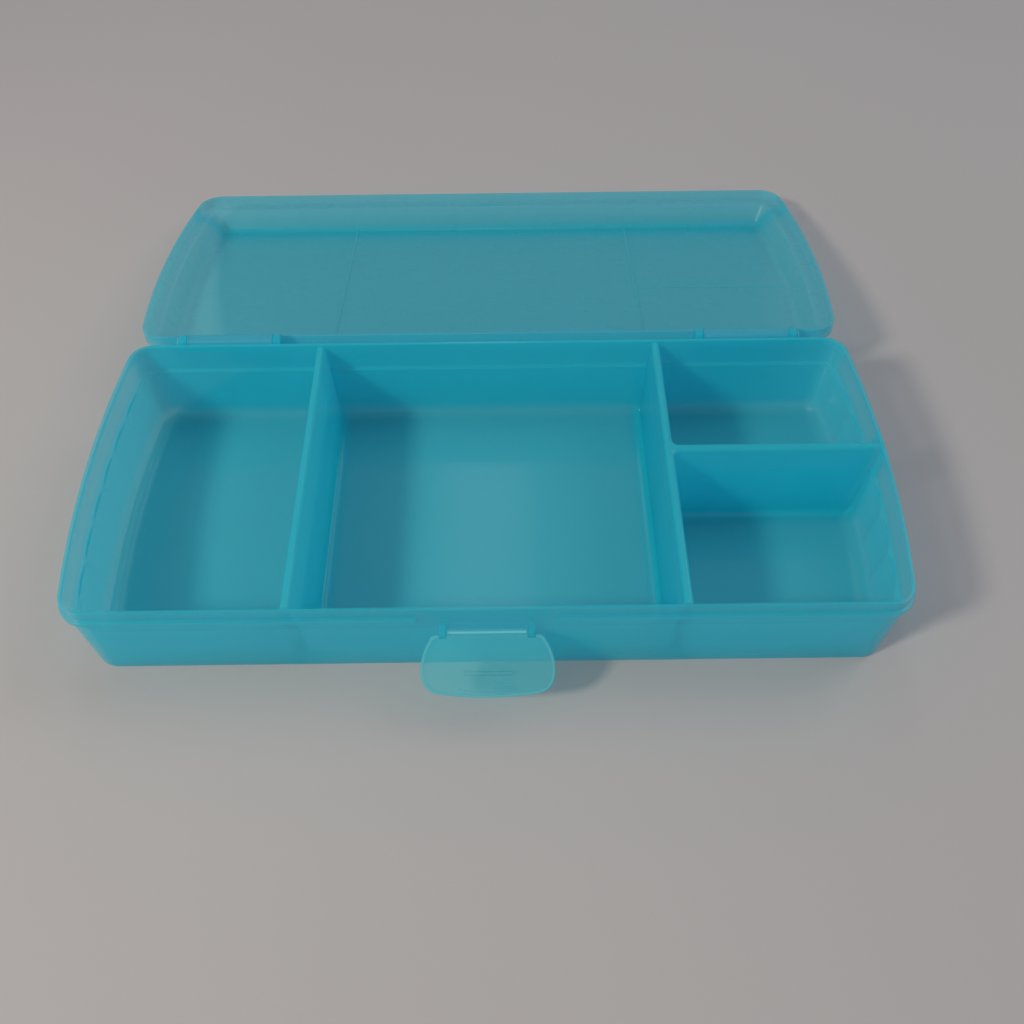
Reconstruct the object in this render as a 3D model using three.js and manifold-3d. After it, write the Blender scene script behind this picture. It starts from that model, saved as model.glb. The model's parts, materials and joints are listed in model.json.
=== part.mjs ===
// Hinged lunch box: a divided tray, a domed lid on two pinned hinges, and a flap latch.
//
// Frame: millimetres, +Z up, +X to the right, -Y towards the user.
// The origin is the middle of the tray's flat underside.
// The lid lies open behind the tray and the latch is swung out; both are modelled
// shut, around their own hinge axes, and then turned to their open angles.

import * as THREE from 'three';
import { mergeVertices } from 'three/addons/utils/BufferGeometryUtils.js';
import Module from 'manifold-3d';

const wasm = await Module();
wasm.setup();

// ---------------------------------------------------------------- driving dimensions

// Plan of the tray's rim: straight front and back, bowed ends, rounded corners
const LENGTH = 320;
const DEPTH = 134.4;
const END_BOW = 5;
const CORNER = 9.7;
const TIGHTEST_CORNER = 3;

// Tray
const TRAY_HEIGHT = 44.5;
const RIM_WALL = 1.5;
const FLOOR = 2;
const LIP_BOTTOM = 37.5;
const LIP_TOP = 39.7;
const LIP_REACH = 1.4;
const FOOT_INSET = 0.6;
const FOOT_ROUND = 2.5;
const LEDGE_HEIGHT = 30.5;
const LEDGE_INSET = 3;
const WALL_FOOT_INSET = 3.6;
const FLOOR_FILLET = 6;
const FLUTE_PITCH = 18;
const FLUTE_DEPTH = 1.3;
const FLUTES = 6;

// Dividers, moulded with the tray
const DIVIDER_X = 73.2;
const CROSS_DIVIDER_Y = 6.9;
const CREST_HEIGHT = 44;
const CREST_WIDTH = 3.4;
const DIVIDER_FOOT_WIDTH = 6.4;
const DIVIDER_FILLET = 4;

// Lid, heights given with the lid shut
const LID_GAP = 0.2;
const SKIRT_WALL = 1.2;
const LID_WALL = 1.5;
const SKIRT_BOTTOM = 40;
const SHELF_HEIGHT = 44.7;
const SHELF_INSET = 5.3;
const PANEL_HEIGHT = 54.9;
const PANEL_INSET = 10.5;
const PANEL_FILLET = 3.4;
const RIB_WIDTH = 1.6;
const RIB_HEIGHT = 0.5;
const CATCH_WIDTH = 16;
const CATCH_HEIGHT = 0.8;
const CATCH_DEPTH = 1.2;

// Lid hinges
const HINGE_Y = 72.8;
const HINGE_Z = 40.1;
const BARREL_START = 95.5;
const BARREL_END = 133;
const BARREL_RADIUS = 3.3;
const BARREL_BORE = 1.5;
const PIN_RADIUS = 1.25;
const PIN_HEAD_RADIUS = 2.2;
const PIN_HEAD_LENGTH = 1.2;
const EAR_THICKNESS = 3.3;
const SIDE_GAP = 0.3;
const LID_OPEN_ANGLE = THREE.MathUtils.degToRad(-190.87);

// Latch
const LATCH_Y = -70.3;
const LATCH_Z = 33;
const LATCH_OPEN_ANGLE = THREE.MathUtils.degToRad(134);
const LATCH_REACH = 24.8;
const LATCH_SHOULDER = 0.6;
const LATCH_HALF_WIDTH = 24.9;
const LATCH_THICKNESS = 1.5;
const LATCH_FRONT = 0.9;
const LATCH_BARREL_HALF = 14.8;
const LATCH_BARREL_RADIUS = 1.7;
const LATCH_STUB_RADIUS = 0.85;
const LATCH_EAR_BORE = 1.1;
const LATCH_EAR_THICKNESS = 2.4;
const LATCH_RECESS_HALF = 25.8;
const HOOK_HALF_WIDTH = 9;
const HOOK_HEIGHT = 14.3;
const HOOK_TIP = 2.7;
const HOOK_THICKNESS = 1.4;

// How finely round stretches are divided
const END_STEPS = 14;
const FLUTE_STEPS = 6;
const CORNER_STEPS = 6;
const FILLET_STEPS = 4;
const ROUND_SIDES = 24;

// Cutting tools reach this far past the faces that they cut
const OVERCUT = 5;

// ---------------------------------------------------------------- solids

function solid(geometry) {
  const bare = geometry.clone();
  bare.deleteAttribute('normal');
  bare.deleteAttribute('uv');
  const merged = mergeVertices(bare, 1e-4);
  return new wasm.Manifold(new wasm.Mesh({
    numProp: 3,
    vertProperties: new Float32Array(merged.attributes.position.array),
    triVerts: new Uint32Array(merged.index.array),
  }));
}

function namedMesh(name, shape, material) {
  const { vertProperties, triVerts } = shape.getMesh();
  const geometry = new THREE.BufferGeometry();
  geometry.setAttribute('position', new THREE.BufferAttribute(vertProperties, 3));
  geometry.setIndex(new THREE.BufferAttribute(triVerts, 1));
  geometry.computeVertexNormals();
  const mesh = new THREE.Mesh(geometry, material);
  mesh.name = name;
  return mesh;
}

function box(x0, x1, y0, y1, z0, z1) {
  const geometry = new THREE.BoxGeometry(x1 - x0, y1 - y0, z1 - z0);
  geometry.translate((x0 + x1) / 2, (y0 + y1) / 2, (z0 + z1) / 2);
  return solid(geometry);
}

// A round bar along X
function bar(radius, x0, x1, y, z) {
  const geometry = new THREE.CylinderGeometry(radius, radius, x1 - x0, ROUND_SIDES);
  geometry.rotateZ(-Math.PI / 2);
  geometry.translate((x0 + x1) / 2, y, z);
  return solid(geometry);
}

// A plate whose outline is drawn in the YZ plane, from x0 to x1
function platesAlongX(points, x0, x1) {
  const geometry = new THREE.ExtrudeGeometry(new THREE.Shape(points), {
    depth: x1 - x0,
    bevelEnabled: false,
  });
  geometry.rotateY(Math.PI / 2);
  geometry.rotateX(Math.PI / 2);
  geometry.translate(x0, 0, 0);
  return solid(geometry);
}

// Skins a stack of level outlines, lowest first, and closes both ends
function loft(levels) {
  const count = levels[0].points.length;
  const positions = levels.flatMap(({ points, z }) => points.flatMap((p) => [p.x, p.y, z]));
  const index = [];
  for (let level = 0; level < levels.length - 1; level += 1) {
    for (let i = 0; i < count; i += 1) {
      const next = (i + 1) % count;
      const low = level * count;
      const high = low + count;
      index.push(low + i, low + next, high + next);
      index.push(low + i, high + next, high + i);
    }
  }
  const top = (levels.length - 1) * count;
  for (const [a, b, c] of THREE.ShapeUtils.triangulateShape(levels[0].points, [])) {
    index.push(a, c, b);
  }
  for (const [a, b, c] of THREE.ShapeUtils.triangulateShape(levels.at(-1).points, [])) {
    index.push(top + a, top + b, top + c);
  }
  const geometry = new THREE.BufferGeometry();
  geometry.setAttribute('position', new THREE.Float32BufferAttribute(positions, 3));
  geometry.setIndex(index);
  return solid(geometry);
}

// ---------------------------------------------------------------- outlines and profiles

// How far a scalloped end wall is scooped out at this y, from nothing at a cusp
function fluteScoop(y, depth) {
  if (Math.abs(y) > (FLUTES / 2) * FLUTE_PITCH) return 0;
  const half = FLUTE_PITCH / 2;
  const fromMiddle = THREE.MathUtils.euclideanModulo(y, FLUTE_PITCH) - half;
  return depth * (1 - (fromMiddle / half) ** 2);
}

// The y values at which a bowed end is divided, from its front corner to its back one
function endStations(cornerY, fluted) {
  const flutedHalf = (FLUTES / 2) * FLUTE_PITCH;
  const half = fluted ? Math.min(flutedHalf, cornerY) : cornerY;
  const steps = fluted ? FLUTES * FLUTE_STEPS : END_STEPS;
  const stations = [];
  for (let i = 0; i <= steps; i += 1) {
    stations.push(-half + (2 * half * i) / steps);
  }
  if (half === cornerY) return stations;
  return [-cornerY, ...stations, cornerY];
}

// The box's plan, drawn the given distance inside the tray's rim
function outline(inset, fluteDepth = null) {
  const halfDepth = DEPTH / 2;
  const bowRadius = (halfDepth ** 2 + END_BOW ** 2) / (2 * END_BOW);
  const bowCentre = LENGTH / 2 - bowRadius;
  const bow = bowRadius - inset;
  const corner = Math.max(CORNER - inset, TIGHTEST_CORNER);
  const cornerY = halfDepth - inset - corner;
  const cornerX = bowCentre + Math.sqrt((bow - corner) ** 2 - cornerY ** 2);
  const meetAngle = Math.atan2(cornerY, cornerX - bowCentre);
  const meetY = bow * Math.sin(meetAngle);

  const rightEnd = endStations(meetY, fluteDepth !== null).map((y) => {
    const scoop = fluteDepth === null ? 0 : fluteScoop(y, fluteDepth);
    return new THREE.Vector2(bowCentre + Math.sqrt(bow ** 2 - y ** 2) + scoop, y);
  });
  const backRight = [];
  for (let i = 1; i <= CORNER_STEPS; i += 1) {
    const angle = meetAngle + ((Math.PI / 2 - meetAngle) * i) / CORNER_STEPS;
    backRight.push(new THREE.Vector2(
      cornerX + corner * Math.cos(angle),
      cornerY + corner * Math.sin(angle),
    ));
  }
  const frontRight = backRight.map((p) => new THREE.Vector2(p.x, -p.y)).reverse();
  const right = [...frontRight, ...rightEnd, ...backRight];
  const left = right.map((p) => new THREE.Vector2(-p.x, p.y)).reverse();
  return [...right, ...left];
}

// A rectangle with rounded corners
function roundedRectangle(x0, x1, y0, y1, radius) {
  const points = [];
  const centres = [
    [x1 - radius, y0 + radius, -Math.PI / 2],
    [x1 - radius, y1 - radius, 0],
    [x0 + radius, y1 - radius, Math.PI / 2],
    [x0 + radius, y0 + radius, Math.PI],
  ];
  for (const [x, y, start] of centres) {
    for (let i = 0; i <= FILLET_STEPS; i += 1) {
      const angle = start + (Math.PI / 2) * (i / FILLET_STEPS);
      points.push(new THREE.Vector2(x + radius * Math.cos(angle), y + radius * Math.sin(angle)));
    }
  }
  return points;
}

// A wall's section as [inset, height] points. Each corner is [inset, height, round],
// where round is how far from the corner its rounding starts and ends.
function section(corners) {
  const path = new THREE.Path();
  const points = corners.map(([inset, z]) => new THREE.Vector2(inset, z));
  const result = [];
  corners.forEach(([, , round = 0], i) => {
    if (round === 0) {
      result.push(points[i]);
      return;
    }
    const before = points[i - 1].clone().sub(points[i]).setLength(round).add(points[i]);
    const after = points[i + 1].clone().sub(points[i]).setLength(round).add(points[i]);
    const curve = new THREE.QuadraticBezierCurve(before, points[i], after);
    result.push(...curve.getPoints(FILLET_STEPS));
  });
  return result;
}

// A solid whose section is the same all round the box's plan
function ringedSolid(corners) {
  return loft(section(corners).map((p) => ({ points: outline(p.x), z: p.y })));
}

// ---------------------------------------------------------------- tray

function trayShell() {
  return ringedSolid([
    [FOOT_INSET + FOOT_ROUND, 0],
    [FOOT_INSET, 0, FOOT_ROUND],
    [0.1, LIP_BOTTOM],
    [-LIP_REACH, LIP_BOTTOM],
    [-LIP_REACH, LIP_TOP],
    [0, LIP_TOP],
    [0, TRAY_HEIGHT],
  ]);
}

// The room inside the tray, as if it had no dividers
function trayRoom() {
  const upper = ringedSolid([
    [RIM_WALL, LEDGE_HEIGHT],
    [RIM_WALL, TRAY_HEIGHT + OVERCUT],
  ]);
  const walls = section([
    [WALL_FOOT_INSET + FLOOR_FILLET, FLOOR],
    [WALL_FOOT_INSET, FLOOR, FLOOR_FILLET],
    [LEDGE_INSET, LEDGE_HEIGHT + 0.01],
  ]);
  const rise = LEDGE_HEIGHT - FLOOR;
  const lower = loft(walls.map((p) => ({
    points: outline(p.x, FLUTE_DEPTH * Math.sqrt((p.y - FLOOR) / rise)),
    z: p.y,
  })));
  return upper.add(lower);
}

// The room between dividers. An infinite side stands for a wall of the tray.
function compartment(left, right, front, back) {
  const beyond = LENGTH;
  const side = (where, outward, away) => (
    Number.isFinite(where) ? where - outward * away : outward * beyond
  );
  const levels = section([
    [DIVIDER_FOOT_WIDTH / 2 + DIVIDER_FILLET, FLOOR - 0.01],
    [DIVIDER_FOOT_WIDTH / 2, FLOOR - 0.01, DIVIDER_FILLET],
    [CREST_WIDTH / 2, CREST_HEIGHT, CREST_WIDTH / 2],
    [0.01, CREST_HEIGHT],
  ]);
  return loft(levels.map((p) => ({
    points: roundedRectangle(
      side(left, -1, p.x),
      side(right, 1, p.x),
      side(front, -1, p.x),
      side(back, 1, p.x),
      TIGHTEST_CORNER,
    ),
    z: p.y,
  })));
}

function compartments() {
  const overCrests = box(-LENGTH, LENGTH, -LENGTH, LENGTH, CREST_HEIGHT, TRAY_HEIGHT + OVERCUT);
  return overCrests
    .add(compartment(-Infinity, -DIVIDER_X, -Infinity, Infinity))
    .add(compartment(-DIVIDER_X, DIVIDER_X, -Infinity, Infinity))
    .add(compartment(DIVIDER_X, Infinity, CROSS_DIVIDER_Y, Infinity))
    .add(compartment(DIVIDER_X, Infinity, -Infinity, CROSS_DIVIDER_Y));
}

// An ear that carries one end of a hinge: a round eye on an arm that starts inside the tray
function ear(x0, thickness, y, z, radius, bore, armY, armZ0, armZ1) {
  const x1 = x0 + thickness;
  const eye = bar(radius, x0, x1, y, z);
  const arm = box(x0, x1, Math.min(y, armY), Math.max(y, armY), armZ0, armZ1);
  return eye.add(arm).subtract(bar(bore, x0 - OVERCUT, x1 + OVERCUT, y, z));
}

function hingeEars() {
  const armStart = DEPTH / 2 - 0.5;
  const starts = [BARREL_START - SIDE_GAP - EAR_THICKNESS, BARREL_END + SIDE_GAP];
  const onRight = starts.map((x0) => ear(
    x0, EAR_THICKNESS, HINGE_Y, HINGE_Z, BARREL_RADIUS, BARREL_BORE,
    armStart, HINGE_Z - BARREL_RADIUS, LIP_TOP,
  ));
  return onRight.flatMap((shape) => [shape, shape.mirror([1, 0, 0])]);
}

function latchEars() {
  const armStart = -DEPTH / 2 + 1;
  const x0 = LATCH_BARREL_HALF + SIDE_GAP;
  const shape = ear(
    x0, LATCH_EAR_THICKNESS, LATCH_Y, LATCH_Z, LATCH_BARREL_RADIUS, LATCH_EAR_BORE,
    armStart, LATCH_Z - LATCH_BARREL_RADIUS, LATCH_Z + LATCH_BARREL_RADIUS,
  );
  return [shape, shape.mirror([1, 0, 0])];
}

// The lip stops short of the latch on each side, so the flap can lie against the rim
function latchRecess() {
  return box(
    -LATCH_RECESS_HALF, LATCH_RECESS_HALF,
    -DEPTH / 2 - LIP_REACH - OVERCUT, -DEPTH / 2,
    LIP_BOTTOM - 0.5, TRAY_HEIGHT + OVERCUT,
  );
}

function tray() {
  const shell = trayShell().subtract(latchRecess());
  const withEars = [...hingeEars(), ...latchEars()].reduce((sum, part) => sum.add(part), shell);
  return withEars.subtract(trayRoom().intersect(compartments()));
}

// ---------------------------------------------------------------- lid

const DOME_LEAN = (PANEL_INSET - SHELF_INSET) / (PANEL_HEIGHT - SHELF_HEIGHT);
const LID_TOP = PANEL_HEIGHT + LID_WALL;

// The lid's outer face is its inner one moved out by the wall's thickness
function domeOutside(height) {
  const wallAcross = LID_WALL * Math.hypot(1, DOME_LEAN);
  return SHELF_INSET + DOME_LEAN * (height - SHELF_HEIGHT) - wallAcross;
}

function lidShell() {
  const outerInset = -LID_GAP - SKIRT_WALL;
  const shelfTop = SHELF_HEIGHT + LID_WALL;
  const outside = ringedSolid([
    [outerInset, SKIRT_BOTTOM],
    [outerInset, shelfTop, 0.8],
    [domeOutside(shelfTop), shelfTop, 1],
    [domeOutside(LID_TOP), LID_TOP, PANEL_FILLET],
    [domeOutside(LID_TOP) + PANEL_FILLET, LID_TOP],
  ]);
  const inside = ringedSolid([
    [-LID_GAP, SKIRT_BOTTOM - OVERCUT],
    [-LID_GAP, SHELF_HEIGHT],
    [SHELF_INSET, SHELF_HEIGHT, 1],
    [PANEL_INSET, PANEL_HEIGHT, PANEL_FILLET - LID_WALL * 0.6],
    [PANEL_INSET + PANEL_FILLET, PANEL_HEIGHT],
  ]);
  return outside.subtract(inside);
}

// Low ribs under the lid's panel, over the tray's dividers
function lidRibs() {
  const half = RIB_WIDTH / 2;
  const reach = DEPTH / 2 - PANEL_INSET;
  const z0 = PANEL_HEIGHT - RIB_HEIGHT;
  const z1 = PANEL_HEIGHT + 0.5;
  const along = [-DIVIDER_X, DIVIDER_X].map((x) => box(x - half, x + half, -reach, reach, z0, z1));
  const endX = LENGTH / 2 - PANEL_INSET;
  const across = box(DIVIDER_X, endX, CROSS_DIVIDER_Y - half, CROSS_DIVIDER_Y + half, z0, z1);
  return [...along, across];
}

// A bead on the shelf's front edge, which the latch's hook holds down
function lidCatch() {
  const front = -DEPTH / 2 - LID_GAP - SKIRT_WALL;
  const shelfTop = SHELF_HEIGHT + LID_WALL;
  return box(
    -CATCH_WIDTH / 2, CATCH_WIDTH / 2,
    front, front + CATCH_DEPTH,
    shelfTop - 1, shelfTop + CATCH_HEIGHT,
  );
}

// A hinge barrel, and the web that joins it to the lid's skirt
function lidBarrel() {
  const skirtBack = DEPTH / 2 + LID_GAP + 0.2;
  const barrel = bar(BARREL_RADIUS, BARREL_START, BARREL_END, HINGE_Y, HINGE_Z);
  const web = box(
    BARREL_START, BARREL_END,
    skirtBack, HINGE_Y,
    SKIRT_BOTTOM, HINGE_Z + BARREL_RADIUS,
  );
  const bore = bar(BARREL_BORE, BARREL_START - OVERCUT, BARREL_END + OVERCUT, HINGE_Y, HINGE_Z);
  return barrel.add(web).subtract(bore);
}

function lid() {
  const right = lidBarrel();
  const parts = [...lidRibs(), lidCatch(), right, right.mirror([1, 0, 0])];
  const whole = parts.reduce((sum, part) => sum.add(part), lidShell());
  return whole.translate([0, -HINGE_Y, -HINGE_Z]);
}

// ---------------------------------------------------------------- hinge pin

// A plain pin pushed in from the outer end of its barrel, with a low round head
function hingePin() {
  const start = BARREL_START - SIDE_GAP - EAR_THICKNESS;
  const end = BARREL_END + SIDE_GAP + EAR_THICKNESS + SIDE_GAP;
  const shank = bar(PIN_RADIUS, start, end + 0.1, HINGE_Y, HINGE_Z);
  const head = bar(PIN_HEAD_RADIUS, end, end + PIN_HEAD_LENGTH, HINGE_Y, HINGE_Z);
  return shank.add(head);
}

// ---------------------------------------------------------------- latch

// The flap's outline: x across, y up from the pivot to the thumb edge
function flapOutline() {
  const shape = new THREE.Shape();
  const shoulder = LATCH_HALF_WIDTH * 0.83;
  const widest = LATCH_REACH * 0.58;
  const cornerY = LATCH_REACH * 0.9;
  const cornerX = LATCH_HALF_WIDTH * 0.86;
  shape.moveTo(0, LATCH_SHOULDER);
  shape.lineTo(shoulder - 2, LATCH_SHOULDER);
  shape.quadraticCurveTo(shoulder, LATCH_SHOULDER, shoulder + 0.8, LATCH_SHOULDER + 1.8);
  shape.quadraticCurveTo(LATCH_HALF_WIDTH, widest * 0.55, LATCH_HALF_WIDTH, widest);
  shape.quadraticCurveTo(LATCH_HALF_WIDTH, cornerY - 2, cornerX, cornerY);
  shape.quadraticCurveTo(cornerX - 1.2, cornerY + 0.8, cornerX - 3, cornerY + 1);
  shape.quadraticCurveTo(LATCH_HALF_WIDTH * 0.4, LATCH_REACH, 0, LATCH_REACH);
  const right = shape.getPoints(FILLET_STEPS);
  const left = right.slice(1, -1).map((p) => new THREE.Vector2(-p.x, p.y)).reverse();
  return new THREE.Shape([...right, ...left]);
}

// The latch stands upright here, with its pivot on the X axis and its face towards -Y
function latch() {
  const plate = new THREE.ExtrudeGeometry(flapOutline(), {
    depth: LATCH_THICKNESS,
    bevelEnabled: false,
  });
  plate.rotateX(Math.PI / 2);
  plate.translate(0, LATCH_THICKNESS - LATCH_FRONT, 0);
  const inner = LATCH_THICKNESS - LATCH_FRONT;
  const half = LATCH_BARREL_HALF;
  const earRoom = 2 * SIDE_GAP + LATCH_EAR_THICKNESS;
  const clearOfEar = LATCH_BARREL_RADIUS + SIDE_GAP;
  const notch = box(half, half + earRoom, -OVERCUT, OVERCUT, -OVERCUT, clearOfEar);
  const barrel = bar(LATCH_BARREL_RADIUS, -half, half, 0, 0);
  const stubs = bar(LATCH_STUB_RADIUS, 0.5 - half - earRoom, half + earRoom - 0.5, 0, 0);
  const hook = platesAlongX([
    new THREE.Vector2(inner - 0.3, HOOK_HEIGHT),
    new THREE.Vector2(HOOK_TIP, HOOK_HEIGHT),
    new THREE.Vector2(HOOK_TIP, HOOK_HEIGHT + HOOK_THICKNESS / 2),
    new THREE.Vector2(inner - 0.3, HOOK_HEIGHT + HOOK_THICKNESS * 1.6),
  ], -HOOK_HALF_WIDTH, HOOK_HALF_WIDTH);
  const notched = solid(plate).subtract(notch).subtract(notch.mirror([1, 0, 0]));
  return notched.add(barrel).add(stubs).add(hook);
}

// ---------------------------------------------------------------- the assembly

function plastic(name, color, roughness) {
  return new THREE.MeshStandardMaterial({ name, color, roughness, metalness: 0 });
}

const trayPlastic = plastic('tray_polypropylene', 0x2b9fb8, 0.35);
const lidPlastic = plastic('lid_polypropylene', 0x4a9aa8, 0.38);
const latchPlastic = plastic('latch_polypropylene', 0x58a9b8, 0.32);
const pinPlastic = plastic('pin_polypropylene', 0x3aa5bb, 0.4);

const lunchBox = new THREE.Group();
lunchBox.add(namedMesh('divided_tray', tray(), trayPlastic));
lunchBox.add(namedMesh('hinge_pin_right', hingePin(), pinPlastic));
lunchBox.add(namedMesh('hinge_pin_left', hingePin().mirror([1, 0, 0]), pinPlastic));

const lidHinge = new THREE.Group();
lidHinge.position.set(0, HINGE_Y, HINGE_Z);
lidHinge.rotation.x = LID_OPEN_ANGLE;
lidHinge.add(namedMesh('lid', lid(), lidPlastic));
lunchBox.add(lidHinge);

const latchHinge = new THREE.Group();
latchHinge.position.set(0, LATCH_Y, LATCH_Z);
latchHinge.rotation.x = LATCH_OPEN_ANGLE;
latchHinge.add(namedMesh('latch', latch(), latchPlastic));
lunchBox.add(latchHinge);

export default lunchBox;
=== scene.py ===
"""Looks for the divided lunch box: fine moulded pieces, translucent plastic, light and camera.

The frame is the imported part's own: metres, +Z up, origin under the middle of the tray.
Lengths below are in millimetres unless a name says otherwise.
"""

import json
import math

import bmesh
import bpy
from mathutils import Matrix, Vector


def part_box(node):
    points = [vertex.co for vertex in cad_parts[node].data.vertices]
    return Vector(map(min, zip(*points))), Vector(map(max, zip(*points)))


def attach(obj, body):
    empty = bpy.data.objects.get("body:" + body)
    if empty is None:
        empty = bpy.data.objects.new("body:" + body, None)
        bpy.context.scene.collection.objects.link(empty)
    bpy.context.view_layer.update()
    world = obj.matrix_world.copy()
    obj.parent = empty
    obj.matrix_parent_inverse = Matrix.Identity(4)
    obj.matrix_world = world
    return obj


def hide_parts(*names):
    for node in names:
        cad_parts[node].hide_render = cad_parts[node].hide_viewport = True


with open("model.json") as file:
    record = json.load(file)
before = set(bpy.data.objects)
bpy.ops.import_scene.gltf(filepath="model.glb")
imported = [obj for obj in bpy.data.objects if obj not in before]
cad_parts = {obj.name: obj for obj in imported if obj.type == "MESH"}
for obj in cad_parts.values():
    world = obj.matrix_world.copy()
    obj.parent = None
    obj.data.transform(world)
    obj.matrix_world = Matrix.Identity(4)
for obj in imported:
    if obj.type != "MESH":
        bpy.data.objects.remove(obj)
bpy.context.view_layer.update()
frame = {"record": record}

MM = 0.001

# ------------------------------------------------------------ dimensions

TRAY_LOW, TRAY_HIGH = [Vector(corner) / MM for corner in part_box("divided_tray")]
JOINTS = {joint["name"]: joint for joint in frame["record"]["behaviour"]["joints"]}

# Plan of the rim: straight front and back, bowed ends, rounded corners
LIP_REACH = 1.4
LENGTH = TRAY_HIGH.x - TRAY_LOW.x - 2 * LIP_REACH
DEPTH = 134.4
END_BOW = 5.0
CORNER = 9.7
TIGHTEST_CORNER = 3.0

# Tray
TRAY_HEIGHT = TRAY_HIGH.z
RIM_WALL = 1.5
FLOOR = 2.0
RIM_ROUND = 0.5
RIM_INNER_ROUND = 0.45
LIP_BOTTOM = 37.5
LIP_TOP = 39.7
LIP_ROOT_ROUND = 0.3
LIP_UNDER_ROUND = 0.35
LIP_TOP_ROUND = 0.6
WALL_TOP_INSET = 0.1
FOOT_INSET = 0.6
FOOT_ROUND = 2.5
LEDGE_HEIGHT = 30.5
LEDGE_INSET = 3.0
LEDGE_EDGE_ROUND = 0.5
LEDGE_ROOT_ROUND = 0.7
WALL_FOOT_INSET = 3.6
FLOOR_FILLET = 6.0
FLUTE_PITCH = 18.0
FLUTE_DEPTH = 1.3
FLUTES = 6

# Dividers
DIVIDER_X = 73.2
CROSS_DIVIDER_Y = 6.9
CREST_HEIGHT = 44.0
CREST_WIDTH = 3.4
DIVIDER_FOOT_WIDTH = 6.4
DIVIDER_FILLET = 4.0

# Lid, with heights given for the lid shut
LID_GAP = 0.2
SKIRT_WALL = 1.2
LID_WALL = 1.5
SKIRT_BOTTOM = 40.0
SHELF_HEIGHT = 44.7
SHELF_INSET = 5.3
SHELF_ROUND = 1.0
SHELF_EDGE_ROUND = 0.8
SKIRT_ROOT_ROUND = 0.5
SKIRT_EDGE_ROUND = 0.4
PANEL_HEIGHT = 54.9
PANEL_INSET = 10.5
PANEL_FILLET = 3.4
RIB_WIDTH = 1.6
RIB_HEIGHT = 0.5
RIB_ROUND = 0.45
# A strip of painted shade inside the panel's front edge: deeper colour, less clear
PANEL_SHADE_BAND = 15.0
CATCH_WIDTH = 16.0
CATCH_HEIGHT = 0.8
CATCH_DEPTH = 1.2

# Lid hinges
HINGE_Y = JOINTS["lid_hinge"]["pos_m"][1] / MM
HINGE_Z = JOINTS["lid_hinge"]["pos_m"][2] / MM
LID_OPEN_ANGLE = -math.radians(JOINTS["lid_hinge"]["range_deg"][1])
BARREL_START = 95.5
BARREL_END = 133.0
BARREL_RADIUS = 3.3
BARREL_BORE = 1.5
PIN_RADIUS = 1.25
PIN_HEAD_RADIUS = 2.2
PIN_HEAD_LENGTH = 1.2
EAR_THICKNESS = 3.3
SIDE_GAP = 0.3

# Latch
LATCH_Y = JOINTS["latch_hinge"]["pos_m"][1] / MM
LATCH_Z = JOINTS["latch_hinge"]["pos_m"][2] / MM
LATCH_OPEN_ANGLE = math.radians(JOINTS["latch_hinge"]["range_deg"][1])
LATCH_REACH = 24.8
LATCH_SHOULDER = 0.6
LATCH_HALF_WIDTH = 24.9
LATCH_THICKNESS = 1.5
LATCH_FRONT = 0.9
LATCH_BARREL_HALF = 14.8
LATCH_BARREL_RADIUS = 1.7
LATCH_STUB_RADIUS = 0.85
LATCH_EAR_BORE = 1.1
LATCH_EAR_THICKNESS = 2.4
LATCH_RECESS_HALF = 25.8
HOOK_HALF_WIDTH = 9.0
HOOK_HEIGHT = 14.3
HOOK_TIP = 2.7
HOOK_TIP_THICKNESS = 0.7
HOOK_ROOT_THICKNESS = 2.24
HOOK_SUNK = 0.3

# Flap outline, as shares of its half width (X) or its reach (Y)
SHOULDER_X_SHARE = 0.83
WIDEST_Y_SHARE = 0.58
CORNER_X_SHARE = 0.86
CORNER_Y_SHARE = 0.9

# Raised border, thumb bead and grip lines on the flap's inner face
BORDER_OUTER_INSET = 0.3
BORDER_INNER_INSET = 1.1
BORDER_HEIGHT = 0.25
BORDER_SUNK = 0.1
BEAD_HALF_LENGTH = 11.0
BEAD_HALF_WIDTH = 0.4
BEAD_HEIGHT = 0.5
BEAD_FROM_EDGE = 2.0
BEAD_DROOP = 1.6
BEAD_STEPS = 16
GRIP_LINES = 5
GRIP_PITCH = 1.0
GRIP_WIDTH = 0.35
GRIP_HEIGHT = 0.4
GRIP_SUNK = 0.2
GRIP_X = 7.0
GRIP_FROM_EDGE = 3.6
GRIP_REACH = 5.2
GRIP_REACH_LOSS = 0.7

# A painted highlight along the latch's barrel: how far from its top it lies, and how wide
HIGHLIGHT_ANGLE = math.radians(-23)
HIGHLIGHT_WIDTH = 0.65
HIGHLIGHT_CORE = 0.15
PAINTED_HIGHLIGHT_COLOUR = (0.36, 1.0, 1.0, 1)

# How much less clear a wall is than the floor, as a share of a divider's loss
WALL_THICKNESS_SHARE = 0.7
END_THICKNESS_SHARE = 0.5
# How far a divider's narrow crest is towards looking like the floor
CREST_THIN_SHARE = 0.45
# The middle part of a noise texture's values, which is stretched over a wanted range
NOISE_LOW = 0.3
NOISE_HIGH = 0.7

# How finely round stretches are divided
END_STEPS = 40
FLUTE_STEPS = 12
CORNER_STEPS = 14
ROUND_STEPS = 6
BAR_SIDES = 40
EDGE_ROUND = 0.25
SMALL_ROUND = 0.2
CREASE_DEGREES = 32
PIN_CREASE_DEGREES = 50

# How far a cutting piece goes past what it cuts, and a gap too small to see
OVERCUT = 5.0
SPECK = 0.01
WELD_DISTANCE = 0.004

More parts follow.
